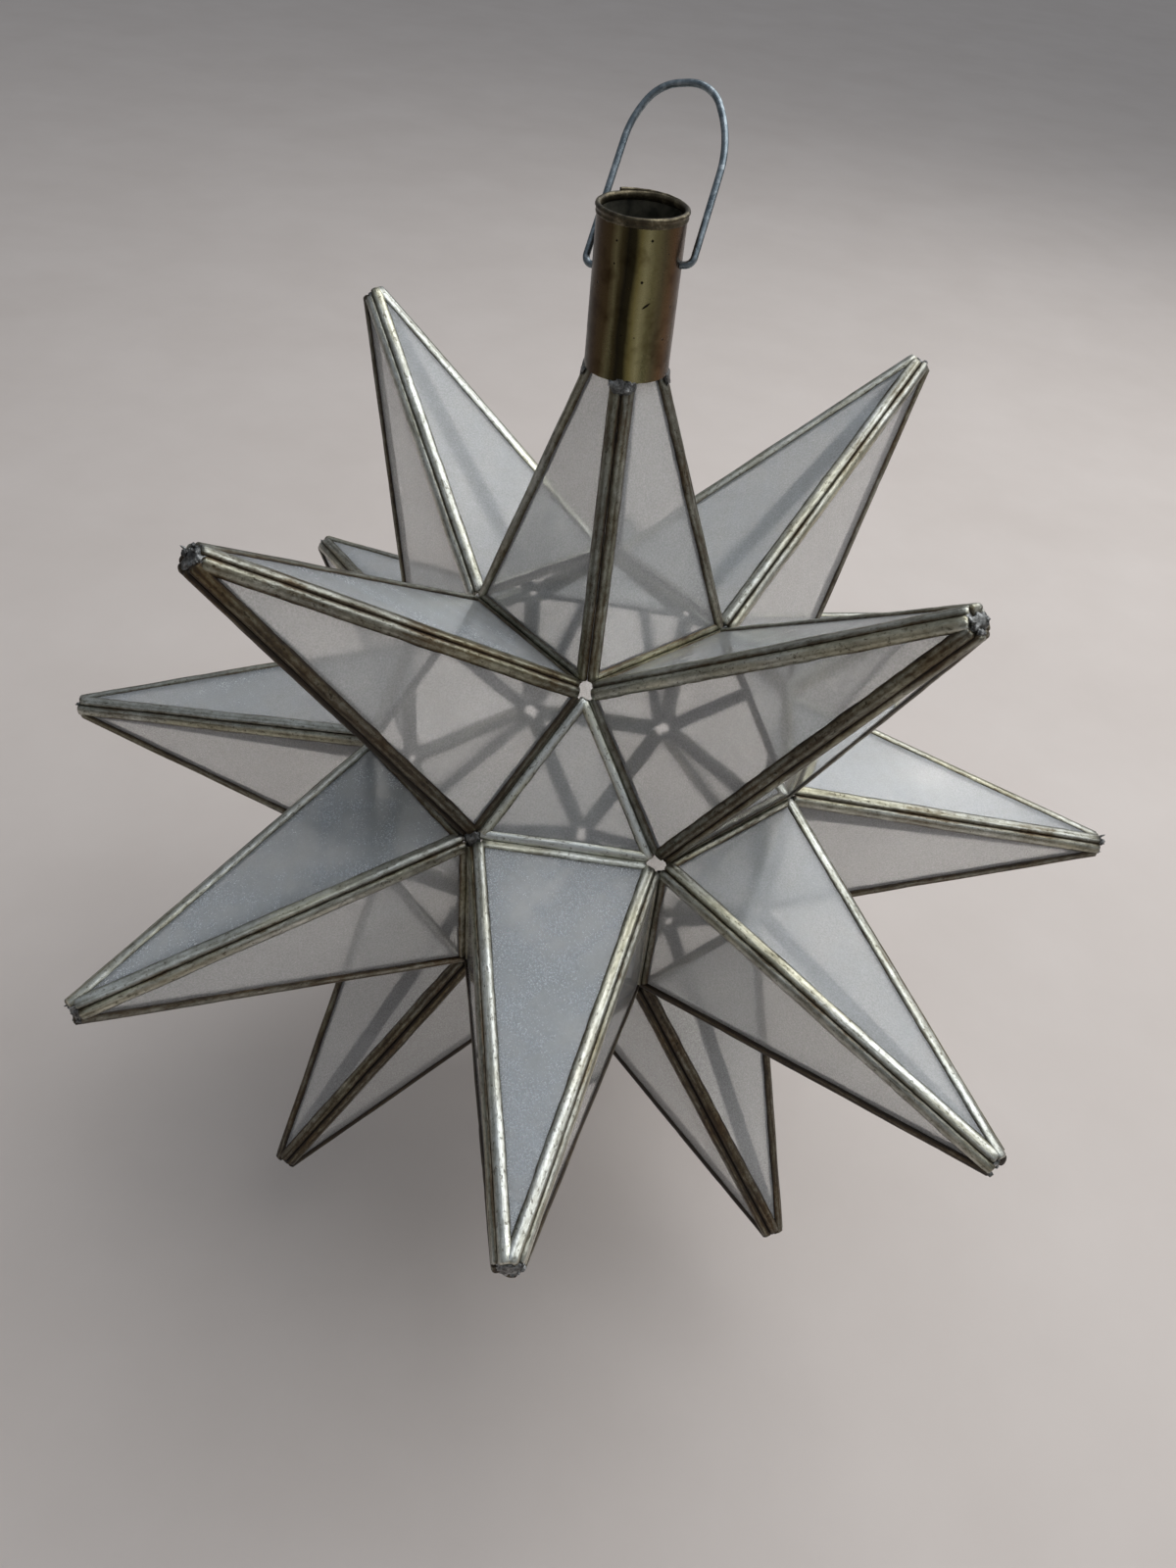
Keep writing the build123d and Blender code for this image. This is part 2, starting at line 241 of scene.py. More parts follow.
class Side:
    """A long side of a pane, with its ways along, outwards in the pane and off the pane's face."""

    def __init__(self, start, end, normal):
        self.start = start
        self.end = end
        self.normal = normal
        self.along = (end - start).normalized()
        self.outward = self.along.cross(normal)
        self.middle = (start + end) / 2
        self.mirror = None
        self.mirror_distance = 0.0

    def climb(self):
        """How much further out from the star's centre the side ends than it starts."""
        return (self.end - STAR_CENTRE).length - (self.start - STAR_CENTRE).length

    def is_rib(self):
        """Whether the side runs up a point, and so has one end much further out than the other."""
        return abs(self.climb()) > RIB_CLIMB

    def find_neighbour(self, others):
        """Keep the way to the plane midway to the nearest side of another pane, and its distance."""
        nearest = NEIGHBOUR_REACH
        for other in others:
            way = other.middle - self.middle
            parallel = abs(self.along.dot(other.along)) > PARALLEL
            same_pane = (self.normal - other.normal).length < SAME_FACING
            if way.length > nearest or not parallel or same_pane:
                continue
            nearest = way.length
            way -= self.along * way.dot(self.along)
            self.mirror = way.normalized()
            self.mirror_distance = way.length / 2


class Pane:
    """A flat pane of glass: its outline on the outer face, and the long sides that carry channels."""

    def __init__(self, corners, normal):
        self.corners = corners
        self.normal = normal
        middle = [corner - normal * (GLASS_THICKNESS / 2) for corner in corners]
        ends = zip(middle, middle[1:] + middle[:1])
        self.sides = [Side(start, end, normal) for start, end in ends if (end - start).length > LONG_SIDE]


def read_panes(piece):
    """The panes of a point or corner, read from its glass node."""
    shape = bmesh.new()
    shape.from_mesh(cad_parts[f"{piece}_glass"].data)
    bmesh.ops.remove_doubles(shape, verts=shape.verts, dist=WELD_DISTANCE)
    bmesh.ops.dissolve_limit(shape, angle_limit=radians(FLAT_ANGLE), verts=shape.verts, edges=shape.edges)
    panes = []
    for face in shape.faces:
        outside = face.normal.dot(face.calc_center_median() - STAR_CENTRE) > 0
        if face.calc_area() > SMALLEST_PANE_AREA and outside:
            panes.append(Pane([vert.co.copy() for vert in face.verts], face.normal.copy()))
    shape.free()
    return panes


def smooth_step(low, high, value):
    """0 at low, 1 at high, smooth between and level outside."""
    part = min(1.0, max(0.0, (value - low) / (high - low)))
    return part * part * (3 - 2 * part)


class MeshBuilder:
    """Vertices, faces and vertex attributes that become one object."""

    def __init__(self):
        self.places = []
        self.faces = []
        self.values = {}

    def add_tube(self, rings, closed=False, **values):
        """Add a tube through rings of equal length, closed or with ends, and the values of its vertices."""
        first = len(self.places)
        count = len(rings[0])
        total = count * len(rings)
        for ring in rings:
            self.places.extend(ring)
        for key, numbers in values.items():
            self.values.setdefault(key, []).extend(numbers)
        for row in range(len(rings) if closed else len(rings) - 1):
            for column in range(count):
                low = row * count
                high = (low + count) % total
                after = (column + 1) % count
                quad = (low + column, low + after, high + after, high + column)
                self.faces.append(tuple(first + corner for corner in quad))
        if not closed:
            self.faces.append(tuple(range(first + count - 1, first - 1, -1)))
            self.faces.append(tuple(range(first + total - count, first + total)))

    def add_lump(self, place, axis, up, sizes, seed, roughness):
        """Add a rough flattened ball, with its sizes across, along up and along the axis."""
        ball = bmesh.new()
        bmesh.ops.create_icosphere(ball, subdivisions=LUMP_DETAIL, radius=0.5)
        across = up.cross(axis).normalized()
        up = axis.cross(across).normalized()
        first = len(self.places)
        for vert in ball.verts:
            coarse = noise.noise(vert.co * LUMP_WAVES[0] + Vector((seed, 0, 0)))
            fine = noise.noise(vert.co * LUMP_WAVES[1] + Vector((0, seed, 0)))
            swell = 1 + roughness * (coarse + FINE_SHARE * fine)
            offset = across * vert.co.x * sizes[0]
            offset += up * vert.co.y * sizes[1]
            offset += axis * vert.co.z * sizes[2]
            self.places.append(place + offset * swell)
        for face in ball.faces:
            self.faces.append(tuple(first + vert.index for vert in face.verts))
        ball.free()

    def make(self, name, smooth=True):
        """The object, with its attributes."""
        mesh = bpy.data.meshes.new(name)
        mesh.from_pydata(self.places, [], self.faces)
        for key, numbers in self.values.items():
            if isinstance(numbers[0], tuple):
                attribute = mesh.attributes.new(key, "FLOAT_VECTOR", "POINT")
                attribute.data.foreach_set("vector", [number for vector in numbers for number in vector])
            else:
                attribute = mesh.attributes.new(key, "FLOAT", "POINT")
                attribute.data.foreach_set("value", numbers)
        if smooth:
            mesh.shade_smooth()
        return link_object(name, mesh)


def link_object(name, data):
    """A new object in the scene."""
    made = bpy.data.objects.new(name, data)
    bpy.context.scene.collection.objects.link(made)
    return made


def make_glass(piece, panes, randomness):
    """The panes of one point or corner, with ground edges and a measure of dust on each."""
    builder = MeshBuilder()
    for pane in panes:
        centre = sum(pane.corners, Vector()) / len(pane.corners)
        across = pane.sides[0].along
        up = pane.normal.cross(across)
        seed = randomness.uniform(0, NOISE_SPAN)
        dust = DUST_SHARES.get(piece, OTHER_DUST) * smooth_step(*DUST_SLOPE, pane.normal.z)
        dust *= randomness.uniform(*DUST_SPREAD)
        dust += randomness.uniform(0, STRAY_DUST)
        depths = (GLASS_THICKNESS, GLASS_THICKNESS - GLASS_ARRIS, GLASS_ARRIS, 0)
        insets = (GLASS_ARRIS, 0, 0, GLASS_ARRIS)
        rings, spots = [], []
        for depth, inset in zip(depths, insets):
            ring = [corner + (centre - corner).normalized() * inset for corner in pane.corners]
            rings.append([place - pane.normal * depth for place in ring])
            spots.extend(((place - centre).dot(across), (place - centre).dot(up), seed) for place in ring)
        builder.add_tube(rings, pane=spots, dust=[dust] * len(spots))
    return builder.make(f"{piece}_panes", smooth=False)


def add_channel(builder, side, reach_start, reach_end, drop, tone, seed):
    """One length of channel along a side, a little uneven, as hand work is."""
    low = -reach_start
    high = (side.end - side.start).length + reach_end
    count = max(FEWEST_STATIONS, round((high - low) / STATION_STEP))
    places = [low + (high - low) * step / count for step in range(count + 1)]
    places.insert(1, low + END_BEVEL)
    places.insert(-1, high - END_BEVEL)
    turns = [radians(BEAD_OPENING) * (1 - 2 * step / (BEAD_SIDES - 1)) for step in range(BEAD_SIDES)]
    outer_width = BEAD_INSET + BEAD_WIDEST_REACH
    if side.mirror:
        to_mirror = (side.mirror_distance - SEAM_GAP) / max(LEAST_FACING, side.outward.dot(side.mirror))
        outer_width = min(outer_width, BEAD_INSET + to_mirror)
    rings, strip, wear = [], [], []
    for index, place in enumerate(places):
        # The last number in each noise sets it apart from the others
        coarse = place / COARSE_WAVE
        fine = place / FINE_WAVE
        sideways = SIDE_WANDER * noise.noise((coarse, seed, 0.3))
        lift = HEIGHT_WANDER * noise.noise((coarse, seed, 7.1)) - drop
        dent = DENT_DEPTH * max(0.0, noise.noise((fine, seed, 3.7)) - DENT_FLOOR)
        groove = GROOVE_TURN + GROOVE_WANDER * noise.noise((coarse * GROOVE_WAVES, seed, 5.5))
        shrink = END_SHRINK if index in (0, len(places) - 1) else 1.0
        base = side.start + side.along * place
        ring = []
        for turn in turns:
            across = cos(turn)
            up = sin(turn)
            if across > 0:
                reach = outer_width * across ** BEAD_SQUARENESS
            else:
                ragged = LIP_WANDER * across * across * noise.noise((fine, seed + LIP_VARIETY * up, 9.4))
                reach = BEAD_HALF_WIDTH * across + ragged
            in_groove = max(0.0, 1 - abs(abs(turn) - groove) / GROOVE_HALF_WIDTH)
            sunk = dent + GROOVE_DEPTH * in_groove
            height = (BEAD_HALF_HEIGHT + lift - sunk) * up
            out = reach * shrink - BEAD_INSET + sideways
            offset = side.outward * out + side.normal * height * shrink
            if side.mirror:
                past = offset.dot(side.mirror) - side.mirror_distance + SEAM_GAP
                offset -= side.mirror * max(0.0, past)
            ring.append(base + offset)
            strip.append((place, turn * BEAD_HALF_WIDTH, seed))
            # Painted highlight on the crown of the bead, partly wear, and painted shade towards its seam,
            # at its lips and in its groove
            crown = smooth_step(*CROWN_SHEEN_BEGINS, abs(turn)) * smooth_step(*CROWN_SHEEN_ENDS, abs(turn))
            wear.append(crown - GROOVE_SHADE * in_groove)
        rings.append(ring)
    builder.add_tube(rings, strip=strip, wear=wear, tone=[tone] * len(wear))


def rise_from_axis(side, axis):
    """How high a side lies off the axis of its point, from -1 straight below it to 1 straight above."""
    away = side.middle - STAR_CENTRE
    away -= axis * away.dot(axis)
    return away.normalized().z


def make_channels(piece, panes, randomness):
    """All the channels of one point or corner."""
    builder = MeshBuilder()
    axis = sum((pane.normal for pane in panes), Vector()).normalized()
    outer_reach = NECK_END_REACH if piece == "top_point" else TIP_END_REACH
    raggedness = 0 if piece == "top_point" else TIP_RAGGEDNESS
    is_corner = piece.endswith("_corner")
    for pane in panes:
        for order, side in enumerate(pane.sides):
            seed = randomness.uniform(0, NOISE_SPAN)
            tone = WEAR_TONES.get(piece, OTHER_TONE) + randomness.uniform(-TONE_SPREAD, TONE_SPREAD)
            ragged = randomness.uniform(-raggedness, raggedness)
            if side.is_rib():
                # Painted light: a rib above its point's axis is painted lighter, one below it darker
                tone += PAINTED_RISE_LIGHT * rise_from_axis(side, axis)
                reaches = [CORE_END_REACH, outer_reach + ragged]
                if side.climb() < 0:
                    reaches.reverse()
                drop = 0
            else:
                if piece in BRIGHT_FEET:
                    tone += BASE_TONE
                reaches = [CORE_END_REACH if is_corner else BUTT_END_REACH, BUTT_END_REACH]
                drop = order * BUTT_DROP / 2 if is_corner else BUTT_DROP
            add_channel(builder, side, *reaches, drop, tone, seed)
    return builder.make(f"{piece}_channels")


def solid_middles(node):
    """The middle of the box round each separate solid of a node."""
    shape = bmesh.new()
    shape.from_mesh(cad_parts[node].data)
    bmesh.ops.remove_doubles(shape, verts=shape.verts, dist=WELD_DISTANCE)
    waiting = set(shape.verts)
    middles = []
    while waiting:
        found = [waiting.pop()]
        places = []
        while found:
            vert = found.pop()
            places.append(vert.co.copy())
            linked = [edge.other_vert(vert) for edge in vert.link_edges]
            found.extend(near for near in linked if near in waiting)
            waiting.difference_update(linked)
        reaches = [[place[axis] for place in places] for axis in range(3)]
        middles.append(Vector([(min(reach) + max(reach)) / 2 for reach in reaches]))
    shape.free()
    return sorted(middles, key=tuple)


def make_tip_solder(randomness):
    """A ragged fill of solder in each blunt tip, with beads that ran and burrs that were left."""
    builder = MeshBuilder()
    for middle in solid_middles("tip_solder"):
        axis = (middle - STAR_CENTRE).normalized()
        aside = axis.orthogonal().normalized()
        seat = middle - axis * TIP_CAP_SINK
        seed = randomness.uniform(0, LUMP_NOISE_SPAN)
        builder.add_lump(seat, axis, aside, TIP_CAP, seed, TIP_CAP_ROUGHNESS)
        for index in range(TIP_BEADS + TIP_BURRS):
            turned = Matrix.Rotation(randomness.uniform(0, tau), 3, axis) @ aside
            spread = TIP_CAP[0] * randomness.uniform(*TIP_BEAD_SPREAD)
            place = seat + turned * spread + axis * randomness.uniform(*TIP_BEAD_RISE) * TIP_CAP[2]
            size = randomness.uniform(*TIP_BEAD_SIZES)
            sizes = (size, size, size * TIP_BEAD_FLATNESS) if index < TIP_BEADS else TIP_BURR
            leaning = (axis + turned * randomness.uniform(0, TIP_BEAD_LEAN)).normalized()
            seed = randomness.uniform(0, LUMP_NOISE_SPAN)
            builder.add_lump(place, leaning, turned.cross(axis), sizes, seed, TIP_BEAD_ROUGHNESS)
    return builder.make("tip_solder_fills")


def make_foot_solder(randomness):
    """A dab of solder over each rib of the top point, where it meets the foot of the collar."""
    builder = MeshBuilder()
    for middle in solid_middles("foot_solder"):
        radial = Vector((middle.x, middle.y, 0)).normalized()
        axis = (radial + Vector((0, 0, FOOT_DAB_LEAN))).normalized()
        place = middle - radial * FOOT_DAB_INSET - Vector((0, 0, FOOT_DAB_SINK))
        seed = randomness.uniform(0, LUMP_NOISE_SPAN)
        builder.add_lump(place, axis, Vector((0, 0, 1)), FOOT_DAB, seed, FOOT_DAB_ROUGHNESS)
    return builder.make("foot_solder_dabs")


def core_corner(ring, heading):
    """A corner of the star's core, by its ring from top to bottom and its heading about +Z."""
    near = CORE_EDGE / 2
    far = near * (1 + sqrt(2))
    height = {"top": far, "upper": near, "lower": -near, "bottom": -far}[ring]
    radius = near * sqrt(2) if ring in ("top", "bottom") else sqrt(near * near + far * far)
    return STAR_CENTRE + Vector((radius * cos(radians(heading)), radius * sin(radians(heading)), height))


def make_corner_solder(randomness):
    """Dabs of solder that close the gap where channels meet, at some corners of the core."""
    builder = MeshBuilder()
    for ring, heading in CORNER_DABS:
        place = core_corner(ring, heading)
        axis = (place - STAR_CENTRE).normalized()
        seed = randomness.uniform(0, LUMP_NOISE_SPAN)
        builder.add_lump(place, axis, axis.orthogonal(), CORNER_DAB, seed, CORNER_DAB_ROUGHNESS)
    return builder.make("corner_solder_dabs")


def add_rolled_edge(builder, radius, mouth):
    """The strip rolled over the collar's mouth, a little uneven."""
    rings = []
    for station in range(RIM_STATIONS):
        heading = tau * station / RIM_STATIONS
        way = Vector((cos(heading), sin(heading), 0))
        shift = RIM_WANDER * noise.noise(way * RIM_WAVES)
        rise = RIM_WANDER * noise.noise(way * RIM_WAVES + RIM_RISE_NOISE)
        ring = []
        for out, up in reversed(RIM_PROFILE):
            place = way * (radius + out * MM + shift * (out > RIM_OUTER_FACE))
            ring.append(place + Vector((0, 0, mouth + up * MM + rise * (up > RIM_UPPER_FACE))))
        rings.append(ring)
    builder.add_tube(rings, closed=True)


def add_lapped_end(builder, radius, mouth):
    """The loose end of the strip, lapped over the rolled edge and standing up."""
    first, last = LAP_HEADINGS
    rings = []
    for station in range(LAP_STATIONS):
        part = station / (LAP_STATIONS - 1)
        heading = radians(first + (last - first) * part)
        way = Vector((cos(heading), sin(heading), 0))
        height = LAP_HEIGHT * (LAP_FIRST_HEIGHT + (1 - LAP_FIRST_HEIGHT) * part)
        top = mouth + LAP_SEAT + height + RIM_WANDER * noise.noise((LAP_WAVES * part, 0, 2))
        half = LAP_HALF_THICKNESS * (LAP_END_SHRINK if station in (0, LAP_STATIONS - 1) else 1.0)
        shoulder = top - half
        outline = ((-half, mouth), (-half, shoulder), (0, top), (half, shoulder), (half, mouth))
        lean = LAP_LEAN * part
        rings.append([way * (radius + out + lean) + Vector((0, 0, level)) for out, level in outline])
    builder.add_tube(rings)


def make_rim():
    """The rolled strip round the collar's mouth, with its lapped end."""
    builder = MeshBuilder()
    low, high = map(Vector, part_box("collar_tube"))
    radius = (high.x - low.x) / 2
    add_rolled_edge(builder, radius, high.z)
    add_lapped_end(builder, radius, high.z)
    return builder.make("rim_strip")


# Materials

def new_material(name):
    """A new material, its node tree and its shader."""
    material = bpy.data.materials.new(name)
    material.use_nodes = True
    return material, material.node_tree, material.node_tree.nodes["Principled BSDF"]


def add_node(tree, kind, inputs, **settings):
    """A node with its settings, and its inputs linked or set."""
    node = tree.nodes.new(kind)
    for key, value in settings.items():
        setattr(node, key, value)
    for key, value in inputs.items():
        if isinstance(value, bpy.types.NodeSocket):
            tree.links.new(value, node.inputs[key])
        else:
            node.inputs[key].default_value = value
    return node


def object_place(tree):
    """The place on a piece, in the frame of the piece."""
    return add_node(tree, "ShaderNodeTexCoord", {}).outputs["Object"]


def vertex_value(tree, name, output="Fac"):
    """A value that a mesh carries at its vertices."""
    return add_node(tree, "ShaderNodeAttribute", {}, attribute_name=name).outputs[output]


def cloud(tree, vector, scale, detail=4.0, roughness=0.6):
    """Noise between 0 and 1, with features about 1 / scale across."""
    settings = {"Vector": vector, "Scale": scale, "Detail": detail, "Roughness": roughness}
    return add_node(tree, "ShaderNodeTexNoise", settings).outputs["Fac"]


def stretched(tree, vector, scale, turn=0.0):
    """A place turned about Z by degrees, then scaled along each axis."""
    if turn:
        turning = {"Vector": vector, "Rotation": (0, 0, radians(turn))}
        vector = add_node(tree, "ShaderNodeMapping", turning).outputs["Vector"]
    return add_node(tree, "ShaderNodeMapping", {"Vector": vector, "Scale": scale}).outputs["Vector"]


def arithmetic(tree, operation, first, second):
    """The result of an operation on two numbers or sockets."""
    return add_node(tree, "ShaderNodeMath", {0: first, 1: second}, operation=operation).outputs["Value"]


def weighted_sum(tree, *terms):
    """Sum of (socket, weight) terms."""
    total = None
    for socket, weight in terms:
        part = arithmetic(tree, "MULTIPLY", socket, weight)
        total = part if total is None else arithmetic(tree, "ADD", total, part)
    return total


def ranged(tree, value, low, high, low_out=0.0, high_out=1.0):
    """A value from low to high mapped, and held, to low_out and high_out."""
    inputs = {"Value": value, "From Min": low, "From Max": high, "To Min": low_out, "To Max": high_out}
    return add_node(tree, "ShaderNodeMapRange", inputs).outputs["Result"]


def colours(tree, factor, *stops):
    """A colour that runs through (place, red, green, blue) stops."""
    node = add_node(tree, "ShaderNodeValToRGB", {"Fac": factor})
    elements = node.color_ramp.elements
    elements.remove(elements[-1])
    for index, (place, *colour) in enumerate(stops):
        element = elements[0] if index == 0 else elements.new(place)
        element.position = place
        element.color = (*colour, 1)
    return node.outputs["Color"]


def mixed(tree, factor, first, second, blend="MIX"):
    """The first colour where the factor is 0, blended to the second where it is 1."""
    node = tree.nodes.new("ShaderNodeMix")
    node.data_type = "RGBA"
    node.blend_type = blend
    sockets = {socket.identifier: socket for socket in node.inputs}
    for key, value in (("Factor_Float", factor), ("A_Color", first), ("B_Color", second)):
        if isinstance(value, bpy.types.NodeSocket):
            tree.links.new(value, sockets[key])
        else:
            sockets[key].default_value = value
    return next(socket for socket in node.outputs if socket.identifier == "Result_Color")


def rough_surface(tree, shader, height, depth):
    """Relief of a given depth from a height between 0 and 1."""
    bump = add_node(tree, "ShaderNodeBump", {"Height": height, "Distance": depth, "Strength": 1.0})
    tree.links.new(bump.outputs["Normal"], shader.inputs["Normal"])


def channel_metal():
    """Folded channel with an olive-brown patina, flecked and worn to grey-gold metal, with a painted
    highlight on the crown of each bead, painted shade at its edges and in its groove, and upper ribs
    painted lighter than lower ones.
    """
    material, tree, shader = new_material("patinated_channel")
    strip = vertex_value(tree, "strip", "Vector")
    place = object_place(tree)
    lines = cloud(tree, stretched(tree, strip, (25, 1300, 13)), scale=1.0, detail=4.0, roughness=0.6)
    flecks = cloud(tree, stretched(tree, strip, (330, 900, 17)), scale=1.0, detail=4.0, roughness=0.7)
    patches = cloud(tree, place, scale=65.0, detail=4.0)
    rust = cloud(tree, place, scale=38.0, detail=3.0)
    grain = cloud(tree, place, scale=1500.0, detail=3.0, roughness=0.7)
    bright = weighted_sum(
        tree,
        # Painted highlight on the crowns of the beads and painted shade at their edges and in their
        # grooves, partly wear
        (vertex_value(tree, "wear"), 0.42),
        # Tone, with painted light: ribs above their point's axis painted lighter, those below darker
        (vertex_value(tree, "tone"), 0.70),
        (lines, 0.30),
        (flecks, 0.75),
        (patches, 0.65),
        (grain, 0.20),
    )
    level = ranged(tree, bright, 1.13, 2.08)
    colour = colours(
        tree, level,
        (0.0, 0.024, 0.016, 0.010),
        (0.22, 0.090, 0.070, 0.045),
        (0.45, 0.212, 0.207, 0.170),
        (0.70, 0.425, 0.425, 0.375),
        (1.0, 0.730, 0.745, 0.705),
    )
    dark = ranged(tree, level, 0.2, 0.6, 1.0, 0.1)
    rusted = arithmetic(tree, "MULTIPLY", ranged(tree, rust, 0.50, 0.66), dark)
    browned = mixed(tree, rusted, colour, (0.90, 0.72, 0.55, 1), "MULTIPLY")
    gilt = cloud(tree, stretched(tree, strip, (14, 90, 23)), scale=1.0, detail=3.0)
    gilded = mixed(tree, ranged(tree, gilt, 0.48, 0.62), browned, (1.0, 0.96, 0.82, 1), "MULTIPLY")
    holes = cloud(tree, stretched(tree, strip, (700, 1100, 29)), scale=1.0, detail=3.0, roughness=0.7)
    pits = ranged(tree, holes, 0.58, 0.66, 0.0, 0.75)
    pitted = mixed(tree, pits, gilded, (0.20, 0.17, 0.13, 1), "MULTIPLY")
    tree.links.new(pitted, shader.inputs["Base Color"])
    tree.links.new(ranged(tree, level, 0.0, 0.35, 0.5, 1.0), shader.inputs["Metallic"])
    gloss = weighted_sum(tree, (level, -0.35), (grain, 0.3))
    tree.links.new(ranged(tree, gloss, -0.3, 0.3, 0.28, 0.60), shader.inputs["Roughness"])
    relief = weighted_sum(tree, (lines, 0.35), (flecks, 0.45), (grain, 0.3), (pits, -0.25))
    rough_surface(tree, shader, relief, depth=0.25 * MM)
    return material


def dusty_glass():
    """Thin glass with a faint haze, and wiped dust on the panes that face up."""
    material, tree, shader = new_material("frosted_glass")
    pane = vertex_value(tree, "pane", "Vector")
    dust = vertex_value(tree, "dust")
    smudges = cloud(tree, stretched(tree, pane, (28, 28, 7)), scale=1.0, detail=5.0)
    wipes = cloud(tree, stretched(tree, pane, (150, 16, 7), 48), scale=1.0, detail=3.0)
    cross_wipes = cloud(tree, stretched(tree, pane, (130, 14, 9), -37), scale=1.0, detail=3.0)
    grain = cloud(tree, object_place(tree), scale=1750.0, detail=2.0, roughness=0.8)
    wiped = weighted_sum(tree, (smudges, 0.7), (wipes, 0.55), (cross_wipes, 0.55), (grain, 0.14))
    uneven = ranged(tree, wiped, 0.70, 1.24, 0.40, 1.60)
    settled = arithmetic(tree, "MULTIPLY", dust, uneven)
    specks = ranged(tree, grain, 0.70, 0.76)
    tint = colours(
        tree, settled,
        (0.0, 0.965, 0.960, 0.940),
        (0.35, 0.780, 0.795, 0.790),
        (1.0, 0.640, 0.675, 0.700),
    )
    speckled = mixed(tree, specks, tint, (0.90, 0.90, 0.88, 1))
    tree.links.new(speckled, shader.inputs["Base Color"])
    clear = ranged(tree, settled, 0.0, 1.2, 0.86, 0.62)
    misted = ranged(tree, grain, 0.4, 0.6)
    hazed = weighted_sum(tree, (clear, 1.0), (uneven, -0.02), (misted, -0.08), (specks, -0.25))
    tree.links.new(hazed, shader.inputs["Transmission Weight"])
    frosted = arithmetic(tree, "MULTIPLY", ranged(tree, grain, 0.50, 0.70, 0.0, 0.12), settled)
    blurred = ranged(tree, settled, 0.0, 1.0, 0.045, 0.24)
    tree.links.new(arithmetic(tree, "ADD", frosted, blurred), shader.inputs["Roughness"])
    shader.inputs["Subsurface Weight"].default_value = 1.0
    shader.inputs["Subsurface Radius"].default_value = (1.0, 1.0, 1.0)
    shader.inputs["Subsurface Scale"].default_value = 3 * MM
    shader.inputs["IOR"].default_value = 1.46
    return material


def scratch(tree, place):
    """1 on the slanting scratch across the front of the collar, 0 off it."""
    off = add_node(tree, "ShaderNodeVectorMath", {0: place, 1: SCRATCH_PLACE}, operation="SUBTRACT")
    axes = add_node(tree, "ShaderNodeSeparateXYZ", {"Vector": off.outputs["Vector"]}).outputs
    rise = sin(radians(SCRATCH_SLANT))
    run = cos(radians(SCRATCH_SLANT))
    along = weighted_sum(tree, (axes["X"], run / SCRATCH_LENGTH), (axes["Z"], rise / SCRATCH_LENGTH))
    across = weighted_sum(tree, (axes["X"], -rise / SCRATCH_WIDTH), (axes["Z"], run / SCRATCH_WIDTH))
    away = add_node(tree, "ShaderNodeCombineXYZ", {"X": along, "Y": across}).outputs["Vector"]
    distance = add_node(tree, "ShaderNodeVectorMath", {0: away}, operation="LENGTH").outputs["Value"]
    in_front = arithmetic(tree, "LESS_THAN", axes["Y"], 0.0)
    return arithmetic(tree, "MULTIPLY", ranged(tree, distance, 0.35, 0.55, 1.0, 0.0), in_front)


def aged_brass(radius):
    """Glossy old brass in upright bands of gold, brown and black that are painted reflections, with patches
    of tarnish, pitted, and dark inside.
    """
    material, tree, shader = new_material("aged_brass")
    place = object_place(tree)
    axes = add_node(tree, "ShaderNodeSeparateXYZ", {"Vector": place}).outputs
    drift = cloud(tree, stretched(tree, place, (130, 130, 45)), scale=1.0, detail=3.0)
    patches = cloud(tree, place, scale=130.0, detail=4.0)
    grain = cloud(tree, place, scale=2200.0, detail=3.0, roughness=0.7)
    # Painted reflection: upright bands of gold, brown and black across the collar, set by X alone, so the
    # back repeats the front
    across = arithmetic(tree, "ADD", weighted_sum(tree, (axes["X"], 0.5 / radius), (drift, 0.10)), 0.45)
    painted_reflection_bands = colours(
        tree, across,
        (0.00, 0.070, 0.052, 0.036),
        (0.10, 0.068, 0.044, 0.024),
        (0.22, 0.086, 0.060, 0.028),
        (0.29, 0.195, 0.172, 0.090),
        (0.34, 0.070, 0.056, 0.026),
        (0.40, 0.022, 0.019, 0.012),
        (0.48, 0.034, 0.029, 0.014),
        (0.55, 0.235, 0.205, 0.080),
        (0.62, 0.350, 0.328, 0.172),
        (0.70, 0.190, 0.172, 0.082),
        (0.80, 0.100, 0.084, 0.046),
        (0.90, 0.112, 0.064, 0.030),
        (1.00, 0.070, 0.043, 0.025),
    )
    tarnish = ranged(tree, patches, 0.50, 0.68, 0.0, 0.75)
    # Patches of tarnish over the painted reflection bands
    tarnished_reflection_bands = mixed(tree, tarnish, painted_reflection_bands, (0.42, 0.34, 0.26, 1), "MULTIPLY")
    holes = add_node(tree, "ShaderNodeTexVoronoi", {"Vector": place, "Scale": 300.0}).outputs["Distance"]
    pits = ranged(tree, weighted_sum(tree, (holes, 1.0), (patches, 0.55)), 0.30, 0.35, 1.0, 0.0)
    pitted = mixed(tree, pits, tarnished_reflection_bands, (0.012, 0.009, 0.006, 1))
    scratched = mixed(tree, scratch(tree, place), pitted, (0.014, 0.011, 0.008, 1))
    flat = stretched(tree, place, (1, 1, 0))
    from_axis = add_node(tree, "ShaderNodeVectorMath", {0: flat}, operation="LENGTH").outputs["Value"]
    inside = ranged(tree, from_axis, radius - INSIDE_DEPTHS[0], radius - INSIDE_DEPTHS[1], 1.0, 0.0)
    sooty = colours(tree, patches, (0.35, 0.085, 0.085, 0.070), (0.65, 0.270, 0.255, 0.200))
    tree.links.new(mixed(tree, inside, scratched, sooty), shader.inputs["Base Color"])
    shader.inputs["Metallic"].default_value = 1.0
    dulled = weighted_sum(tree, (patches, 0.45), (grain, 0.2), (inside, 0.35))
    tree.links.new(ranged(tree, dulled, 0.2, 0.65, 0.20, 0.55), shader.inputs["Roughness"])
    relief = weighted_sum(tree, (patches, 0.5), (grain, 0.15), (pits, -0.4))
    rough_surface(tree, shader, relief, depth=0.12 * MM)
    return material


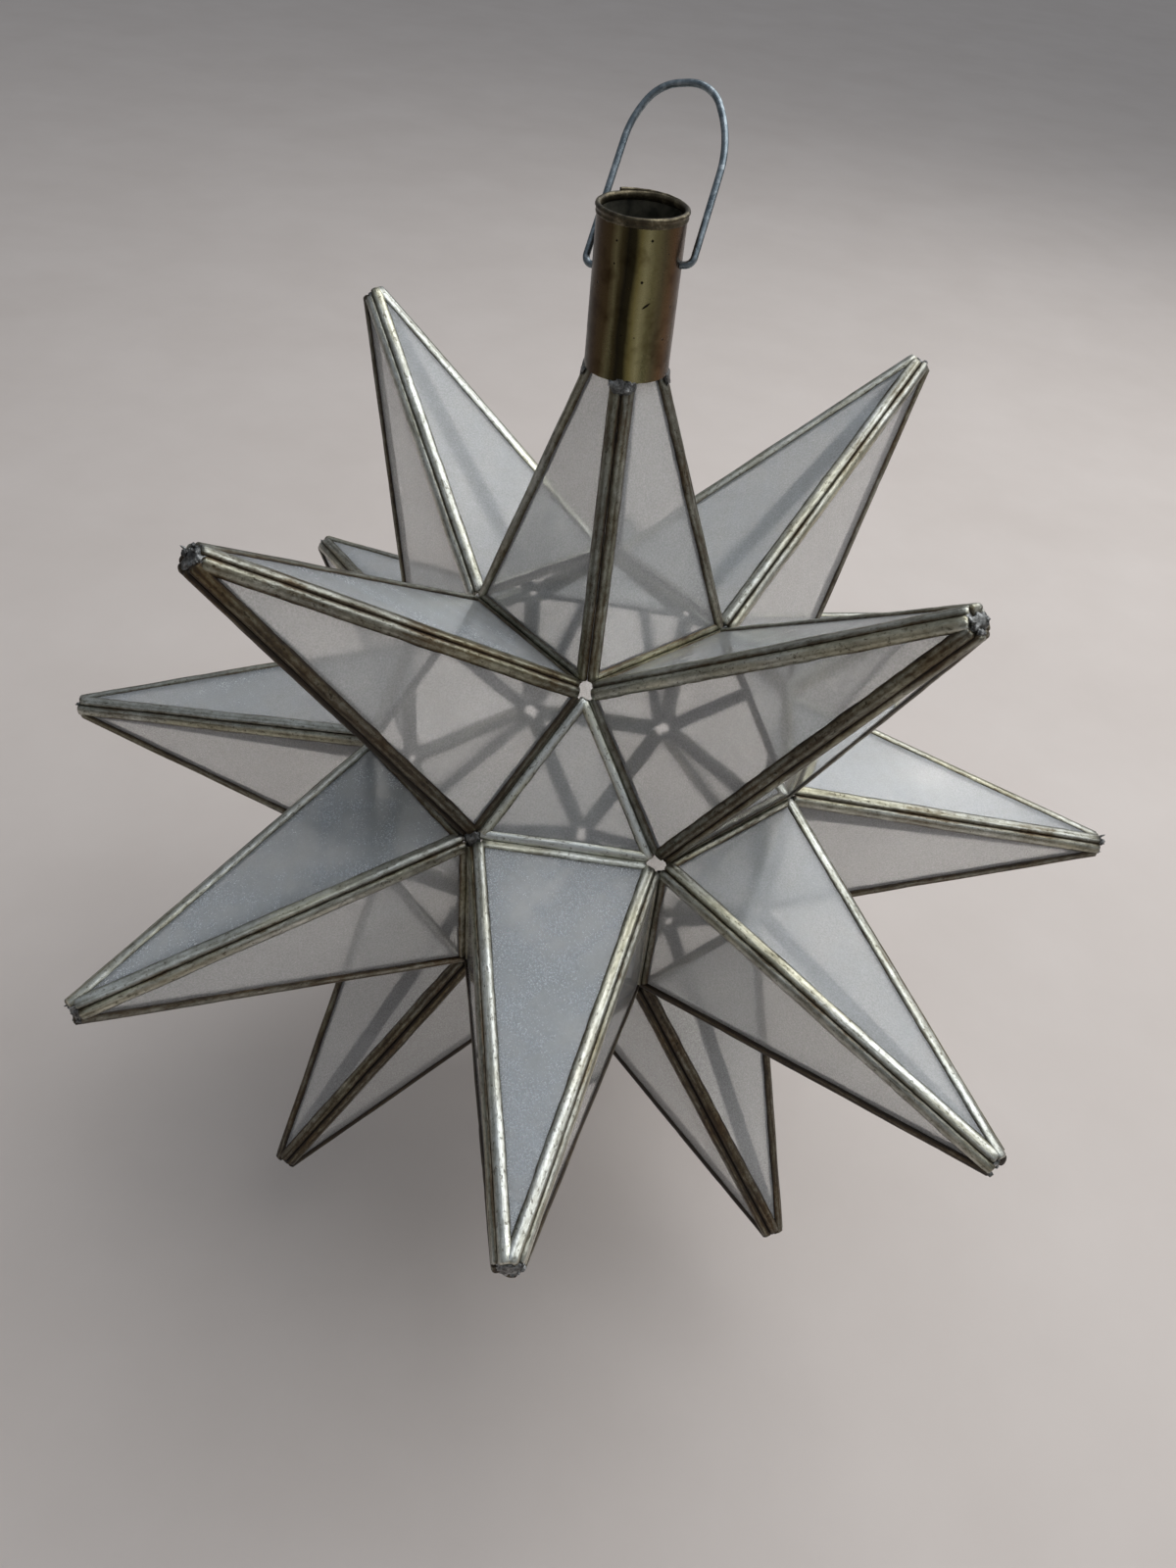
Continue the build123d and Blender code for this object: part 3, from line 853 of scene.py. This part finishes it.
def browned_brass():
    """Brass gone brown, with tan where it is rubbed."""
    material, tree, shader = new_material("browned_brass")
    place = object_place(tree)
    patches = cloud(tree, place, scale=210.0, detail=5.0)
    grain = cloud(tree, place, scale=1900.0, detail=3.0, roughness=0.7)
    level = weighted_sum(tree, (patches, 0.75), (grain, 0.25))
    colour = colours(
        tree, ranged(tree, level, 0.36, 0.68),
        (0.0, 0.026, 0.020, 0.013),
        (0.5, 0.090, 0.074, 0.046),
        (1.0, 0.300, 0.255, 0.170),
    )
    tree.links.new(colour, shader.inputs["Base Color"])
    shader.inputs["Metallic"].default_value = 0.9
    tree.links.new(ranged(tree, grain, 0.3, 0.7, 0.28, 0.50), shader.inputs["Roughness"])
    rough_surface(tree, shader, level, depth=0.15 * MM)
    return material


def dull_solder():
    """Grey solder with dark flux in its hollows and bright rubbed spots."""
    material, tree, shader = new_material("solder")
    place = object_place(tree)
    lumps = cloud(tree, place, scale=420.0, detail=4.0)
    grain = cloud(tree, place, scale=1900.0, detail=3.0, roughness=0.7)
    level = weighted_sum(tree, (lumps, 0.7), (grain, 0.35))
    colour = colours(
        tree, ranged(tree, level, 0.38, 0.70),
        (0.0, 0.030, 0.028, 0.026),
        (0.45, 0.145, 0.145, 0.140),
        (0.80, 0.330, 0.335, 0.330),
        (1.0, 0.720, 0.730, 0.730),
    )
    tree.links.new(colour, shader.inputs["Base Color"])
    shader.inputs["Metallic"].default_value = 1.0
    tree.links.new(ranged(tree, grain, 0.3, 0.7, 0.28, 0.55), shader.inputs["Roughness"])
    rough_surface(tree, shader, level, depth=0.35 * MM)
    return material


def galvanised_wire():
    """Dark blue-grey zinc with lighter spangles."""
    material, tree, shader = new_material("galvanised_wire")
    place = object_place(tree)
    spangle = add_node(tree, "ShaderNodeTexVoronoi", {"Vector": place, "Scale": 900.0}).outputs["Color"]
    patches = cloud(tree, place, scale=260.0, detail=4.0)
    level = weighted_sum(tree, (spangle, 0.35), (patches, 0.75))
    colour = colours(
        tree, ranged(tree, level, 0.32, 0.80),
        (0.0, 0.125, 0.152, 0.170),
        (0.55, 0.205, 0.240, 0.262),
        (1.0, 0.360, 0.400, 0.425),
    )
    tree.links.new(colour, shader.inputs["Base Color"])
    shader.inputs["Metallic"].default_value = 1.0
    tree.links.new(ranged(tree, patches, 0.3, 0.7, 0.26, 0.44), shader.inputs["Roughness"])
    rough_surface(tree, shader, level, depth=0.06 * MM)
    return material


def pale_floor():
    """Pale matt floor with a faint mottle."""
    material, tree, shader = new_material("pale_floor")
    mottle = cloud(tree, object_place(tree), scale=9.0, detail=6.0)
    colour = colours(tree, mottle, (0.3, 0.62, 0.550, 0.500), (0.7, 0.66, 0.590, 0.540))
    tree.links.new(colour, shader.inputs["Base Color"])
    shader.inputs["Roughness"].default_value = 0.75
    return material


def paint(made, material):
    """Give a piece one material."""
    made.data.materials.clear()
    made.data.materials.append(material)


def place_piece(made, material, node=None):
    """Paint a piece, let it ride on the lantern, and let it stand for a node if it has one."""
    paint(made, material)
    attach(made, "lantern")
    if node:
        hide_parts(node)


# Pieces

collar_low, collar_high = map(Vector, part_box("collar_tube"))
glass = dusty_glass()
channel = channel_metal()
solder = dull_solder()

pieces = sorted(node.removesuffix("_glass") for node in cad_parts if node.endswith("_glass"))
panes = {piece: read_panes(piece) for piece in pieces}
all_sides = [side for piece in pieces for pane in panes[piece] for side in pane.sides]
randomness = random.Random(RANDOM_SEED)
for side in all_sides:
    side.find_neighbour(all_sides)
for piece in pieces:
    channels = make_channels(piece, panes[piece], randomness)
    place_piece(channels, channel, f"{piece}_frame")
    place_piece(make_glass(piece, panes[piece], randomness), glass, f"{piece}_glass")
place_piece(make_tip_solder(randomness), solder, "tip_solder")
place_piece(make_foot_solder(randomness), solder, "foot_solder")
place_piece(make_corner_solder(randomness), solder)
place_piece(make_rim(), browned_brass(), "rim_edging")
paint(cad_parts["collar_tube"], aged_brass((collar_high.x - collar_low.x) / 2))
paint(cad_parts["bail"], galvanised_wire())

# Stage, lights and camera

def add_floor():
    """A level floor under the star's lowest point."""
    level = cad_box[0][2]
    corners = [(-1, -1), (1, -1), (1, 1), (-1, 1)]
    mesh = bpy.data.meshes.new("floor")
    mesh.from_pydata([(x * FLOOR_REACH, y * FLOOR_REACH, level) for x, y in corners], [], [(0, 1, 2, 3)])
    floor = link_object("floor", mesh)
    paint(floor, pale_floor())


def add_softbox(name, place, width, power):
    """A square area light that faces the star."""
    light = bpy.data.lights.new(name, "AREA")
    light.shape = "SQUARE"
    light.size = width
    light.energy = power
    light.color = SOFTBOX_COLOUR
    made = link_object(name, light)
    made.location = place
    made.rotation_euler = (STAR_CENTRE - made.location).to_track_quat("-Z", "Y").to_euler()


def add_camera():
    """The camera, as fitted."""
    camera = link_object("camera", bpy.data.cameras.new("camera"))
    camera.data.sensor_width = SENSOR_WIDTH
    camera.data.lens = CAMERA_LENS
    camera.location = CAMERA_PLACE
    camera.rotation_euler = [radians(turn) for turn in CAMERA_TURN]
    bpy.context.scene.camera = camera


def add_world():
    """Soft light from all round, stronger from the right, and stronger and cooler from above."""
    world = bpy.data.worlds.new("studio")
    bpy.context.scene.world = world
    world.use_nodes = True
    tree = world.node_tree
    direction = add_node(tree, "ShaderNodeTexCoord", {}).outputs["Generated"]
    axes = add_node(tree, "ShaderNodeSeparateXYZ", {"Vector": direction}).outputs
    height = ranged(tree, axes["Z"], -0.1, 1.0)
    sky = colours(tree, height, (0.0, 0.40, 0.38, 0.36), (1.0, 0.76, 0.84, 0.95))
    strength = ranged(tree, axes["X"], -1.0, 1.0, *SKY_STRENGTHS)
    background = tree.nodes["Background"].inputs
    tree.links.new(sky, background["Color"])
    tree.links.new(strength, background["Strength"])


add_floor()
for softbox in SOFTBOXES:
    add_softbox(*softbox)
add_camera()
add_world()
bpy.context.scene.view_settings.view_transform = "Standard"
